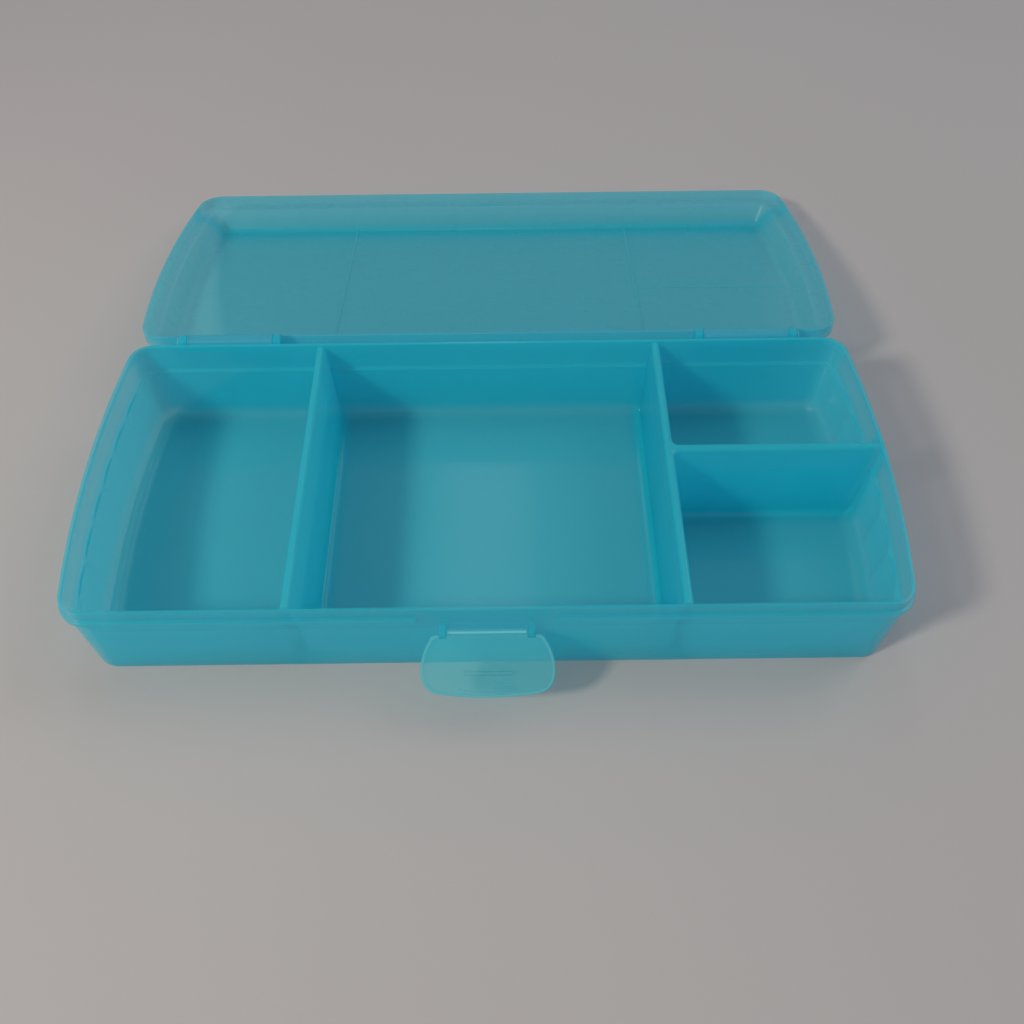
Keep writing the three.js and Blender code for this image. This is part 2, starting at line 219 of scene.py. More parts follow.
# Light and camera, in metres, watts, radians and, for the lens, millimetres
WORLD_COLOUR = (0.97, 0.95, 1.05, 1)
WORLD_STRENGTH = 0.263
KEY_PLACE = (-0.87, -0.57, 0.95)
KEY_COLOUR = (1.0, 0.91, 0.755)
FILL_PLACE = (1.1, 0.5, 1.2)
BOX_MIDDLE = (0, 0.05, 0)
STRIP_PLACE = (-0.045, 0.85, 1.3)
STRIP_TARGET = (-0.045, 0.5, 0)
STRIP_WIDTHS = (0.12, 0.16, 0.20)
CAMERA_PLACE = (0.00928, -0.23775, 0.34845)
CAMERA_YAW = 0.0014
CAMERA_PITCH = 0.9591
CAMERA_ROLL = 0.0112
SENSOR_WIDTH = 36.0
FOCAL_LENGTH = 34.02

# ------------------------------------------------------------ mesh tools


def to_object(name, vertices, faces):
    """A mesh object from corners in millimetres."""
    mesh = bpy.data.meshes.new(name)
    mesh.from_pydata([Vector(v) * MM for v in vertices], [], faces)
    mesh.update()
    made = bpy.data.objects.new(name, mesh)
    bpy.context.scene.collection.objects.link(made)
    return made


def fill_between(ring_count, size):
    """Quads between neighbouring rings of the same size, and a face on each end."""
    faces = []
    for ring in range(ring_count - 1):
        low = ring * size
        for i in range(size):
            j = (i + 1) % size
            faces.append((low + i, low + j, low + size + j, low + size + i))
    faces.append(tuple(reversed(range(size))))
    top = (ring_count - 1) * size
    faces.append(tuple(range(top, top + size)))
    return faces


def loft(name, levels):
    """Skins level outlines, lowest first. Each level is (points, z)."""
    vertices = [(x, y, z) for points, z in levels for x, y in points]
    return to_object(name, vertices, fill_between(len(levels), len(levels[0][0])))


def bar(name, radius, x0, x1, y, z, edge=0.0):
    """A round bar along X, with its end edges rounded off by the given amount."""
    ends = [(x0, radius - edge), (x0 + edge, radius), (x1 - edge, radius), (x1, radius - edge)]
    if edge == 0.0:
        ends = [(x0, radius), (x1, radius)]
    vertices = []
    for x, r in ends:
        for i in range(BAR_SIDES):
            angle = 2 * math.pi * i / BAR_SIDES
            vertices.append((x, y + r * math.cos(angle), z + r * math.sin(angle)))
    return to_object(name, vertices, fill_between(len(ends), BAR_SIDES))


def block(name, x0, x1, y0, y1, z0, z1, edge=0.0):
    """A box with its edges rounded off by the given amount."""
    corners = [(x0, y0), (x1, y0), (x1, y1), (x0, y1)]
    made = loft(name, [(corners, z0), (corners, z1)])
    if edge > 0.0:
        bevel_edges(made, edge, lambda e: True)
    return made


def plate_along_x(name, points, x0, x1, edge=0.0):
    """A plate whose outline is drawn in the YZ plane."""
    vertices = [(x, y, z) for x in (x0, x1) for y, z in points]
    made = to_object(name, vertices, fill_between(2, len(points)))
    if edge > 0.0:
        bevel_edges(made, edge, lambda e: abs(e.verts[0].co.x - e.verts[1].co.x) < 1e-7)
    return made


def bevel_edges(made, width, chosen, segments=2):
    """Rounds the edges that the given test picks."""
    work = bmesh.new()
    work.from_mesh(made.data)
    bmesh.ops.bevel(
        work,
        geom=[e for e in work.edges if chosen(e)],
        offset=width * MM,
        segments=segments,
        profile=0.5,
        affect="EDGES",
    )
    work.to_mesh(made.data)
    work.free()


def mirrored_copy(made):
    """The same piece on the other side of the box."""
    copy = bpy.data.objects.new(made.name + "_left", made.data.copy())
    copy.data.transform(Matrix.Scale(-1, 4, (1, 0, 0)))
    copy.data.flip_normals()
    bpy.context.scene.collection.objects.link(copy)
    return copy


def combine(target, tool, operation):
    """Joins the tool to the target, or cuts with it. The tool is used up."""
    modifier = target.modifiers.new("combine", "BOOLEAN")
    modifier.operation = operation
    modifier.solver = "EXACT"
    modifier.object = tool
    graph = bpy.context.evaluated_depsgraph_get()
    mesh = bpy.data.meshes.new_from_object(target.evaluated_get(graph))
    target.modifiers.clear()
    target.data = mesh
    bpy.data.objects.remove(tool)
    return target


def join(target, *tools):
    for tool in tools:
        combine(target, tool, "UNION")
    return target


def cut(target, *tools):
    for tool in tools:
        combine(target, tool, "DIFFERENCE")
    return target


def finish_surface(made, crease_degrees=CREASE_DEGREES):
    """Welds specks, then shades smoothly up to the given crease, by face area."""
    work = bmesh.new()
    work.from_mesh(made.data)
    bmesh.ops.remove_doubles(work, verts=work.verts, dist=WELD_DISTANCE * MM)
    bmesh.ops.dissolve_degenerate(work, edges=work.edges, dist=WELD_DISTANCE / 2 * MM)
    limit = math.radians(crease_degrees)
    for face in work.faces:
        face.smooth = True
    for edge in work.edges:
        edge.smooth = len(edge.link_faces) == 2 and edge.calc_face_angle(0.0) < limit
    work.to_mesh(made.data)
    work.free()
    weighted = made.modifiers.new("area normals", "WEIGHTED_NORMAL")
    weighted.keep_sharp = True
    weighted.weight = 80


def hang(made, cad_node, body, material, name):
    """Shows the piece in place of its CAD node, riding on that node's body."""
    made.name = name
    made.data.materials.clear()
    made.data.materials.append(material)
    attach(made, body)
    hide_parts(cad_node)


# ------------------------------------------------------------ outlines and sections


def flute_scoop(y, depth):
    """How far a scalloped end wall is scooped out at this y, from nothing at a cusp."""
    if abs(y) > FLUTES / 2 * FLUTE_PITCH:
        return 0.0
    half = FLUTE_PITCH / 2
    from_middle = y % FLUTE_PITCH - half
    return depth * (1 - (from_middle / half) ** 2)


def end_stations(corner_y, fluted):
    """The y values that divide a bowed end, from its front corner to its back one."""
    if not fluted:
        return [-corner_y + 2 * corner_y * i / END_STEPS for i in range(END_STEPS + 1)]
    half = FLUTES / 2 * FLUTE_PITCH
    steps = FLUTES * FLUTE_STEPS
    middle = [-half + 2 * half * i / steps for i in range(steps + 1)]
    return [-corner_y, *middle, corner_y]


def outline(inset, flute_depth=None):
    """The box's plan, drawn the given distance inside the tray's rim."""
    half_depth = DEPTH / 2
    bow_radius = (half_depth**2 + END_BOW**2) / (2 * END_BOW)
    bow_centre = LENGTH / 2 - bow_radius
    bow = bow_radius - inset
    corner = max(CORNER - inset, TIGHTEST_CORNER)
    corner_y = half_depth - inset - corner
    corner_x = bow_centre + math.sqrt((bow - corner) ** 2 - corner_y**2)
    meet_angle = math.atan2(corner_y, corner_x - bow_centre)
    meet_y = bow * math.sin(meet_angle)

    right_end = []
    for y in end_stations(meet_y, flute_depth is not None):
        scoop = flute_scoop(y, flute_depth) if flute_depth else 0.0
        right_end.append((bow_centre + math.sqrt(bow**2 - y**2) + scoop, y))
    back_right = []
    for i in range(1, CORNER_STEPS + 1):
        angle = meet_angle + (math.pi / 2 - meet_angle) * i / CORNER_STEPS
        back_right.append(
            (corner_x + corner * math.cos(angle), corner_y + corner * math.sin(angle))
        )
    front_right = [(x, -y) for x, y in reversed(back_right)]
    right = front_right + right_end + back_right
    left = [(-x, y) for x, y in reversed(right)]
    return right + left


def rounded_rectangle(x0, x1, y0, y1, radius):
    points = []
    centres = [
        (x1 - radius, y0 + radius, -math.pi / 2),
        (x1 - radius, y1 - radius, 0.0),
        (x0 + radius, y1 - radius, math.pi / 2),
        (x0 + radius, y0 + radius, math.pi),
    ]
    for x, y, start in centres:
        for i in range(ROUND_STEPS + 1):
            angle = start + math.pi / 2 * i / ROUND_STEPS
            points.append((x + radius * math.cos(angle), y + radius * math.sin(angle)))
    return points


def section(corners):
    """A wall's section as (inset, height) points. A corner is (inset, height, round),
    where round is how far from the corner its rounding starts and ends."""
    points = [Vector(corner[:2]) for corner in corners]
    result = []
    for i, corner in enumerate(corners):
        if len(corner) == 2:
            result.append(points[i])
            continue
        before = points[i] + (points[i - 1] - points[i]).normalized() * corner[2]
        after = points[i] + (points[i + 1] - points[i]).normalized() * corner[2]
        for step in range(ROUND_STEPS + 1):
            t = step / ROUND_STEPS
            result.append(
                (1 - t) ** 2 * before + 2 * t * (1 - t) * points[i] + t**2 * after
            )
    return result


def ringed_solid(name, corners):
    """A solid whose section is the same all round the box's plan."""
    return loft(name, [(outline(p.x), p.y) for p in section(corners)])


# ------------------------------------------------------------ tray


def tray_shell():
    """The tray's outside, solid all through."""
    return ringed_solid("tray", [
        (FOOT_INSET + FOOT_ROUND, 0.0),
        (FOOT_INSET, 0.0, FOOT_ROUND),
        (WALL_TOP_INSET, LIP_BOTTOM, LIP_ROOT_ROUND),
        (-LIP_REACH, LIP_BOTTOM, LIP_UNDER_ROUND),
        (-LIP_REACH, LIP_TOP, LIP_TOP_ROUND),
        (0.0, LIP_TOP, LIP_ROOT_ROUND),
        (0.0, TRAY_HEIGHT, RIM_ROUND),
        (RIM_WALL / 2, TRAY_HEIGHT),
    ])


def tray_room():
    """The room inside the tray, as if it had no dividers."""
    crest_inset = RIM_WALL / 2 + 0.2
    corners = section([
        (WALL_FOOT_INSET + FLOOR_FILLET, FLOOR),
        (WALL_FOOT_INSET, FLOOR, FLOOR_FILLET),
        (LEDGE_INSET, LEDGE_HEIGHT, LEDGE_EDGE_ROUND),
        (RIM_WALL, LEDGE_HEIGHT, LEDGE_ROOT_ROUND),
        (RIM_WALL, TRAY_HEIGHT, RIM_INNER_ROUND),
        (crest_inset, TRAY_HEIGHT),
        (crest_inset, TRAY_HEIGHT + OVERCUT),
    ])
    rise = LEDGE_HEIGHT - FLOOR
    halfway_over_ledge = (RIM_WALL + LEDGE_INSET) / 2
    levels = []
    for p in corners:
        share = min(max(p.y - FLOOR, 0.0) / rise, 1.0)
        depth = FLUTE_DEPTH * math.sqrt(share) if p.x > halfway_over_ledge else 0.0
        levels.append((outline(p.x, depth), p.y))
    return loft("room", levels)


def compartment(left, right, front, back):
    """The room between dividers. None stands for a wall of the tray."""
    profile = section([
        (DIVIDER_FOOT_WIDTH / 2 + DIVIDER_FILLET, FLOOR - SPECK),
        (DIVIDER_FOOT_WIDTH / 2, FLOOR - SPECK, DIVIDER_FILLET),
        (CREST_WIDTH / 2, CREST_HEIGHT, CREST_WIDTH / 2),
        (SPECK, CREST_HEIGHT),
        (SPECK, TRAY_HEIGHT + OVERCUT),
    ])
    levels = []
    for p in profile:
        x0 = -LENGTH if left is None else left + p.x
        x1 = LENGTH if right is None else right - p.x
        y0 = -LENGTH if front is None else front + p.x
        y1 = LENGTH if back is None else back - p.x
        levels.append((rounded_rectangle(x0, x1, y0, y1, TIGHTEST_CORNER), p.y))
    return loft("compartment", levels)


def compartments():
    """The four compartments, joined above the dividers' crests."""
    over_crests = block(
        "over crests", -LENGTH, LENGTH, -LENGTH, LENGTH, CREST_HEIGHT, TRAY_HEIGHT + OVERCUT
    )
    return join(
        over_crests,
        compartment(None, -DIVIDER_X, None, None),
        compartment(-DIVIDER_X, DIVIDER_X, None, None),
        compartment(DIVIDER_X, None, CROSS_DIVIDER_Y, None),
        compartment(DIVIDER_X, None, None, CROSS_DIVIDER_Y),
    )


def ear(x0, thickness, y, z, radius, bore, arm_y, arm_z0, arm_z1):
    """One hinge ear: a round eye on an arm that starts inside the tray's wall."""
    x1 = x0 + thickness
    made = bar("ear", radius, x0, x1, y, z, edge=EDGE_ROUND)
    near, far = min(y, arm_y), max(y, arm_y)
    join(made, block("arm", x0, x1, near, far, arm_z0, arm_z1, edge=SMALL_ROUND))
    return cut(made, bar("bore", bore, x0 - OVERCUT, x1 + OVERCUT, y, z))


def hinge_ears():
    arm_start = DEPTH / 2 - 0.5
    ears = []
    for x0 in (BARREL_START - SIDE_GAP - EAR_THICKNESS, BARREL_END + SIDE_GAP):
        right = ear(
            x0, EAR_THICKNESS, HINGE_Y, HINGE_Z, BARREL_RADIUS, BARREL_BORE,
            arm_start, HINGE_Z - BARREL_RADIUS, LIP_TOP,
        )
        ears += [right, mirrored_copy(right)]
    return ears


def latch_ears():
    right = ear(
        LATCH_BARREL_HALF + SIDE_GAP, LATCH_EAR_THICKNESS,
        LATCH_Y, LATCH_Z, LATCH_BARREL_RADIUS, LATCH_EAR_BORE,
        -DEPTH / 2 + 1, LATCH_Z - LATCH_BARREL_RADIUS, LATCH_Z + LATCH_BARREL_RADIUS,
    )
    return [right, mirrored_copy(right)]


def latch_recess():
    """The lip stops short of the latch on each side, so the flap can lie against the rim."""
    return block(
        "recess", -LATCH_RECESS_HALF, LATCH_RECESS_HALF,
        -DEPTH / 2 - LIP_REACH - OVERCUT, -DEPTH / 2,
        LIP_BOTTOM - 0.5, TRAY_HEIGHT + OVERCUT,
    )


def make_tray():
    tray = cut(tray_shell(), latch_recess())
    join(tray, *hinge_ears(), *latch_ears())
    room = combine(tray_room(), compartments(), "INTERSECT")
    cut(tray, room)
    finish_surface(tray)
    return tray


# ------------------------------------------------------------ lid

DOME_LEAN = (PANEL_INSET - SHELF_INSET) / (PANEL_HEIGHT - SHELF_HEIGHT)
LID_TOP = PANEL_HEIGHT + LID_WALL
SHELF_TOP = SHELF_HEIGHT + LID_WALL


def dome_outside(height):
    """The dome's outer face is its inner one moved out by the wall's thickness."""
    wall_across = LID_WALL * math.hypot(1, DOME_LEAN)
    return SHELF_INSET + DOME_LEAN * (height - SHELF_HEIGHT) - wall_across


def lid_shell():
    """Outer face, then the skirt's edge, then the inner face, as one closed skin."""
    outer_inset = -LID_GAP - SKIRT_WALL
    panel_middle = PANEL_INSET + 10
    return ringed_solid("lid", [
        (panel_middle, PANEL_HEIGHT),
        (PANEL_INSET, PANEL_HEIGHT, PANEL_FILLET - LID_WALL * 0.6),
        (SHELF_INSET, SHELF_HEIGHT, SHELF_ROUND),
        (-LID_GAP, SHELF_HEIGHT, SKIRT_ROOT_ROUND),
        (-LID_GAP, SKIRT_BOTTOM, SKIRT_EDGE_ROUND),
        (outer_inset, SKIRT_BOTTOM, SKIRT_EDGE_ROUND),
        (outer_inset, SHELF_TOP, SHELF_EDGE_ROUND),
        (dome_outside(SHELF_TOP), SHELF_TOP, SHELF_ROUND),
        (dome_outside(LID_TOP), LID_TOP, PANEL_FILLET),
        (panel_middle, LID_TOP),
    ])


def lid_ribs():
    """Low ribs on the panel, one over each divider."""
    half = RIB_WIDTH / 2
    reach = DEPTH / 2 - PANEL_INSET
    z0 = PANEL_HEIGHT - RIB_HEIGHT
    z1 = PANEL_HEIGHT + 0.5
    ribs = [
        block("rib", x - half, x + half, -reach, reach, z0, z1, edge=RIB_ROUND)
        for x in (-DIVIDER_X, DIVIDER_X)
    ]
    ribs.append(block(
        "rib", DIVIDER_X, LENGTH / 2 - PANEL_INSET,
        CROSS_DIVIDER_Y - half, CROSS_DIVIDER_Y + half, z0, z1, edge=RIB_ROUND,
    ))
    return ribs


def lid_catch():
    """A bead on the shelf's front edge, which the latch's hook holds down."""
    front = -DEPTH / 2 - LID_GAP - SKIRT_WALL
    return block(
        "catch", -CATCH_WIDTH / 2, CATCH_WIDTH / 2,
        front, front + CATCH_DEPTH,
        SHELF_TOP - 1, SHELF_TOP + CATCH_HEIGHT, edge=EDGE_ROUND,
    )


def lid_barrel():
    """A hinge barrel and the web that joins it to the lid's skirt, in one outline."""
    skirt_back = DEPTH / 2 + LID_GAP + 0.2
    points = [(skirt_back, SKIRT_BOTTOM)]
    low_angle = math.pi + math.asin((HINGE_Z - SKIRT_BOTTOM) / BARREL_RADIUS)
    for i in range(BAR_SIDES + 1):
        angle = low_angle + (2 * math.pi + math.pi / 2 - low_angle) * i / BAR_SIDES
        points.append((
            HINGE_Y + BARREL_RADIUS * math.cos(angle),
            HINGE_Z + BARREL_RADIUS * math.sin(angle),
        ))
    points.append((skirt_back, HINGE_Z + BARREL_RADIUS))
    barrel = plate_along_x("barrel", points, BARREL_START, BARREL_END, edge=EDGE_ROUND)
    bore = bar(
        "bore", BARREL_BORE, BARREL_START - OVERCUT, BARREL_END + OVERCUT, HINGE_Y, HINGE_Z
    )
    return cut(barrel, bore)


def turned_about(made, angle, y, z):
    """Turns a piece that was modelled shut to its place at rest."""
    pivot = Vector((0, y, z)) * MM
    made.data.transform(
        Matrix.Translation(pivot) @ Matrix.Rotation(angle, 4, "X") @ Matrix.Translation(-pivot)
    )


def make_lid():
    lid = lid_shell()
    right = lid_barrel()
    join(lid, *lid_ribs(), lid_catch(), mirrored_copy(right), right)
    finish_surface(lid)
    turned_about(lid, LID_OPEN_ANGLE, HINGE_Y, HINGE_Z)
    return lid


# ------------------------------------------------------------ hinge pins


def make_pin():
    """A plain pin pushed in from the outer end of its barrel, with a low round head."""
    start = BARREL_START - SIDE_GAP - EAR_THICKNESS
    end = BARREL_END + SIDE_GAP + EAR_THICKNESS + SIDE_GAP
    pin = bar("pin", PIN_RADIUS, start, end + 0.1, HINGE_Y, HINGE_Z, edge=0.05)
    head = bar(
        "head", PIN_HEAD_RADIUS, end, end + PIN_HEAD_LENGTH, HINGE_Y, HINGE_Z, edge=0.4
    )
    join(pin, head)
    finish_surface(pin, crease_degrees=PIN_CREASE_DEGREES)
    return pin


# ------------------------------------------------------------ latch


def quadratic(start, control, end):
    """Points along a curve that leaves start and reaches end by way of control."""
    start, control, end = Vector(start), Vector(control), Vector(end)
    curve = []
    for i in range(1, ROUND_STEPS + 1):
        t = i / ROUND_STEPS
        curve.append((1 - t) ** 2 * start + 2 * t * (1 - t) * control + t**2 * end)
    return [tuple(p) for p in curve]


def flap_outline():
    """The flap's outline: x across, then height from the pivot to the thumb edge."""
    shoulder = LATCH_HALF_WIDTH * SHOULDER_X_SHARE
    widest = LATCH_REACH * WIDEST_Y_SHARE
    corner_x = LATCH_HALF_WIDTH * CORNER_X_SHARE
    corner_y = LATCH_REACH * CORNER_Y_SHARE
    low = LATCH_SHOULDER
    right = [(shoulder - 2, low)]
    # Each stretch is (control point, end point)
    stretches = [
        ((shoulder, low), (shoulder + 0.8, low + 1.8)),
        ((LATCH_HALF_WIDTH, widest * 0.55), (LATCH_HALF_WIDTH, widest)),
        ((LATCH_HALF_WIDTH, corner_y - 2), (corner_x, corner_y)),
        ((corner_x - 1.2, corner_y + 0.8), (corner_x - 3, corner_y + 1)),
        ((LATCH_HALF_WIDTH * 0.4, LATCH_REACH), (0.0, LATCH_REACH)),
    ]
    for control, end in stretches:
        right += quadratic(right[-1], control, end)
    left = [(-x, z) for x, z in reversed(right[:-1])]
    return right + left


def flap():
    """The flap's plate in the pivot's own frame, standing up, with rounded edges."""
    inner = LATCH_THICKNESS - LATCH_FRONT
    vertices = []
    points = flap_outline()
    for y in (-LATCH_FRONT, inner):
        vertices += [(x, y, z) for x, z in points]
    made = to_object("latch", vertices, fill_between(2, len(points)))
    bevel_edges(made, 0.4, lambda e: abs(e.verts[0].co.y - e.verts[1].co.y) < 1e-7, 3)
    return made


def flap_border():
    """A raised border just inside the edge of the flap's inner face."""
    inner = LATCH_THICKNESS - LATCH_FRONT
    low, high = inner - BORDER_SUNK, inner + BORDER_HEIGHT
    middle = (LATCH_SHOULDER + LATCH_REACH) / 2
    half_reach = LATCH_REACH - middle
    points = flap_outline()
    size = len(points)
    outside, inside = BORDER_OUTER_INSET, BORDER_INNER_INSET
    rings = [(outside, low), (outside, high), (inside, high), (inside, low)]
    vertices = []
    for inset, y in rings:
        for x, z in points:
            vertices.append((
                x * (1 - inset / LATCH_HALF_WIDTH), y,
                middle + (z - middle) * (1 - inset / half_reach),
            ))
    faces = []
    for ring in range(len(rings)):
        here, there = ring * size, (ring + 1) % len(rings) * size
        for i in range(size):
            j = (i + 1) % size
            faces.append((here + i, here + j, there + j, there + i))
    border = to_object("border", vertices, faces)
    bevel_edges(border, 0.12, lambda e: True)
    return border


def ear_notches():
    """Where the flap is cut away round the tray's two latch ears."""
    half = LATCH_BARREL_HALF
    notch = block(
        "notch", half, half + 2 * SIDE_GAP + LATCH_EAR_THICKNESS, -OVERCUT, OVERCUT,
        -OVERCUT, LATCH_BARREL_RADIUS + SIDE_GAP,
    )
    return [mirrored_copy(notch), notch]


def put_on_hinge(made):
    """Moves a latch piece from the pivot's own frame to its place at rest."""
    made.data.transform(Matrix.Translation(Vector((0, LATCH_Y, LATCH_Z)) * MM))
    turned_about(made, LATCH_OPEN_ANGLE, LATCH_Y, LATCH_Z)
    return made


def make_flap_border():
    """The border is a piece of its own, so that its plastic can be paler: a painted highlight
    along the flap's edges.
    """
    border = cut(flap_border(), *ear_notches())
    finish_surface(border)
    return put_on_hinge(border)


def thumb_bead(inner):
    """A low bead just inside the thumb edge, following its curve."""
    points = []
    for side in (1, -1):
        for i in range(BEAD_STEPS + 1):
            share = (2 * i / BEAD_STEPS - 1) * side
            middle = LATCH_REACH - BEAD_FROM_EDGE - BEAD_DROOP * share**2
            half = BEAD_HALF_WIDTH * (1 - 0.6 * abs(share))
            points.append((share * BEAD_HALF_LENGTH, middle - half * side))
    vertices = [
        (x, y, z) for y in (inner - GRIP_SUNK, inner + BEAD_HEIGHT) for x, z in points
    ]
    return to_object("bead", vertices, fill_between(2, len(points)))


def grip_lines(inner):
    """Fine raised lines by the thumb edge, shorter towards the pivot."""
    lines = []
    for i in range(GRIP_LINES):
        z = LATCH_REACH - GRIP_FROM_EDGE - i * GRIP_PITCH
        reach = GRIP_REACH - GRIP_REACH_LOSS * i
        lines.append(block(
            "grip", GRIP_X - reach, GRIP_X + reach * 0.7,
            inner - GRIP_SUNK, inner + GRIP_HEIGHT,
            z, z + GRIP_WIDTH, edge=0.1,
        ))
    return lines


def latch_hook(inner):
    """A wedge across the flap, flat below where it holds the lid's catch bead."""
    root = inner - HOOK_SUNK
    points = [
        (root, HOOK_HEIGHT),
        (HOOK_TIP, HOOK_HEIGHT),
        (HOOK_TIP, HOOK_HEIGHT + HOOK_TIP_THICKNESS),
        (root, HOOK_HEIGHT + HOOK_ROOT_THICKNESS),
    ]
    return plate_along_x("hook", points, -HOOK_HALF_WIDTH, HOOK_HALF_WIDTH, edge=0.15)


def make_latch():
    inner = LATCH_THICKNESS - LATCH_FRONT
    half = LATCH_BARREL_HALF
    stub_end = half + 2 * SIDE_GAP + LATCH_EAR_THICKNESS - 0.5
    latch = cut(flap(), *ear_notches())
    join(
        latch,
        bar("barrel", LATCH_BARREL_RADIUS, -half, half, 0, 0, edge=SMALL_ROUND),
        bar("stubs", LATCH_STUB_RADIUS, -stub_end, stub_end, 0, 0, edge=SMALL_ROUND),
        latch_hook(inner),
        thumb_bead(inner),
        *grip_lines(inner),
    )
    finish_surface(latch)
    return put_on_hinge(latch)


# ------------------------------------------------------------ materials


def new_material(name):
    """A material with no nodes yet."""
    material = bpy.data.materials.new(name)
    material.use_nodes = True
    material.node_tree.nodes.clear()
    return material, material.node_tree


def add_node(tree, kind, **inputs):
    """A shader node with some of its inputs set. A space in an input's name is an _ here."""
    made = tree.nodes.new(kind)
    for key, value in inputs.items():
        made.inputs[key.replace("_", " ")].default_value = value
    return made


def feed(tree, socket, value):
    """Links an input to another node's output, or sets it to a plain value."""
    if isinstance(value, bpy.types.NodeSocket):
        tree.links.new(value, socket)
    else:
        socket.default_value = value


def noise(tree, coordinates, scale, detail, stretch=(1, 1, 1)):
    """Smooth random values over the piece, about 0.5 in the middle."""
    mapping = add_node(tree, "ShaderNodeMapping", Scale=stretch)
    texture = add_node(tree, "ShaderNodeTexNoise", Scale=scale, Detail=detail)
    tree.links.new(coordinates.outputs["Object"], mapping.inputs["Vector"])
    tree.links.new(mapping.outputs["Vector"], texture.inputs["Vector"])
    return texture.outputs["Fac"]


def spread(tree, source, low, high):
    """Stretches a noise so that it runs from low to high."""
    made = add_node(
        tree, "ShaderNodeMapRange",
        From_Min=NOISE_LOW, From_Max=NOISE_HIGH, To_Min=low, To_Max=high,
    )
    tree.links.new(source, made.inputs["Value"])
    return made.outputs["Result"]


def mixed_colour(tree, factor, one, two):
    """Colour one where the factor is 0, and two where it is 1."""
    made = tree.nodes.new("ShaderNodeMix")
    made.data_type = "RGBA"
    feed(tree, made.inputs["Factor"], factor)
    feed(tree, made.inputs["A"], one)
    feed(tree, made.inputs["B"], two)
    return made.outputs["Result"]


def maths(tree, operation, first, second=0.0):
    """A maths node on sockets or plain numbers."""
    made = tree.nodes.new("ShaderNodeMath")
    made.operation = operation
    feed(tree, made.inputs[0], first)
    feed(tree, made.inputs[1], second)
    return made.outputs[0]


def distance(tree, source, place):
    """How far a coordinate is from a place given in millimetres."""
    return maths(tree, "ABSOLUTE", maths(tree, "SUBTRACT", source, place * MM))


def rest_of(tree, share):
    """1 minus the share."""
    return maths(tree, "SUBTRACT", 1.0, share)


def smooth_step(tree, source, start, end):
    """0 below start and 1 above end, which are in millimetres."""
    made = add_node(tree, "ShaderNodeMapRange", From_Min=start * MM, From_Max=end * MM)
    made.interpolation_type = "SMOOTHSTEP"
    tree.links.new(source, made.inputs["Value"])
    return made.outputs["Result"]


def axes(tree, coordinates):
    """The X, Y and Z of a place on the piece, in metres."""
    parts = tree.nodes.new("ShaderNodeSeparateXYZ")
    tree.links.new(coordinates.outputs["Object"], parts.inputs["Vector"])
    return [parts.outputs[axis] for axis in "XYZ"]


def off_dividers(tree, x, y):
    """0 in a divider and its foot, 1 elsewhere. The front and back walls count as off."""
    near = DIVIDER_FOOT_WIDTH / 2
    far = near + DIVIDER_FILLET * 1.5
    from_middle = distance(tree, x, 0)
    off_long = smooth_step(tree, distance(tree, from_middle, DIVIDER_X), near, far)
    off_cross = smooth_step(tree, distance(tree, y, CROSS_DIVIDER_Y), near, far)
    left_of_cross = maths(tree, "LESS_THAN", x, DIVIDER_X * MM)
    off_cross_too = maths(tree, "MAXIMUM", off_cross, left_of_cross)
    off_all = maths(tree, "MINIMUM", off_long, off_cross_too)
    wall_inside = DEPTH / 2 - WALL_FOOT_INSET
    in_long_wall = smooth_step(tree, distance(tree, y, 0), wall_inside, wall_inside + 2)
    return maths(tree, "MAXIMUM", off_all, in_long_wall)


def wall_and_shade_loss(tree, x, y, z):
    """How much less clear the walls are than the floor. The rim and the latch's ears are
    as clear as the floor, but the back rim is not: it carries painted shade, as deep as a wall."""
    over_floor = smooth_step(tree, z, FLOOR + 0.5, FLOOR + FLOOR_FILLET)
    over_ledge = smooth_step(tree, z, LEDGE_HEIGHT, LEDGE_HEIGHT + 2)
    # Painted shade: the back rim is made deeper and less clear.
    back_rim_shade = smooth_step(tree, y, DEPTH / 2 - 12, DEPTH / 2 - 4)
    thin_rim = maths(tree, "MULTIPLY", over_ledge, rest_of(tree, back_rim_shade))
    behind_ears = smooth_step(tree, y, -DEPTH / 2 - 0.8, -DEPTH / 2 + 0.2)
    thin_part = maths(tree, "MAXIMUM", thin_rim, rest_of(tree, behind_ears))
    in_wall = maths(tree, "SUBTRACT", over_floor, thin_part)
    at_end = smooth_step(tree, distance(tree, x, 0), LENGTH / 2 - 14, LENGTH / 2 - 6)
    end_gain = maths(tree, "MULTIPLY", at_end, WALL_THICKNESS_SHARE - END_THICKNESS_SHARE)
    share = maths(tree, "SUBTRACT", WALL_THICKNESS_SHARE, end_gain)
    return maths(tree, "MULTIPLY", in_wall, share)


def tray_thin_and_unshaded_share(tree, coordinates):
    """1 on the tray's thin floor and rim, less on its walls and on the back rim's painted shade,
    0 in the thick dividers.
    """
    x, y, z = axes(tree, coordinates)
    up_divider = smooth_step(tree, z, FLOOR, CREST_HEIGHT + 4)
    at_divider = maths(tree, "MULTIPLY", up_divider, CREST_THIN_SHARE)
    in_floor = maths(tree, "MAXIMUM", off_dividers(tree, x, y), at_divider)
    return maths(tree, "MULTIPLY", in_floor, rest_of(tree, wall_and_shade_loss(tree, x, y, z)))


def outside_painted_shade_band(tree, coordinates):
    """0 along the strip of painted shade inside the lid panel's front edge, 1 elsewhere."""
    y = axes(tree, coordinates)[1]
    edge = HINGE_Y + (HINGE_Y + DEPTH / 2 - PANEL_INSET) * abs(math.cos(LID_OPEN_ANGLE))
    into_band = smooth_step(tree, y, edge - PANEL_SHADE_BAND, edge - PANEL_SHADE_BAND / 3)
    past_band = smooth_step(tree, y, edge - 3, edge)
    return rest_of(tree, maths(tree, "SUBTRACT", into_band, past_band))


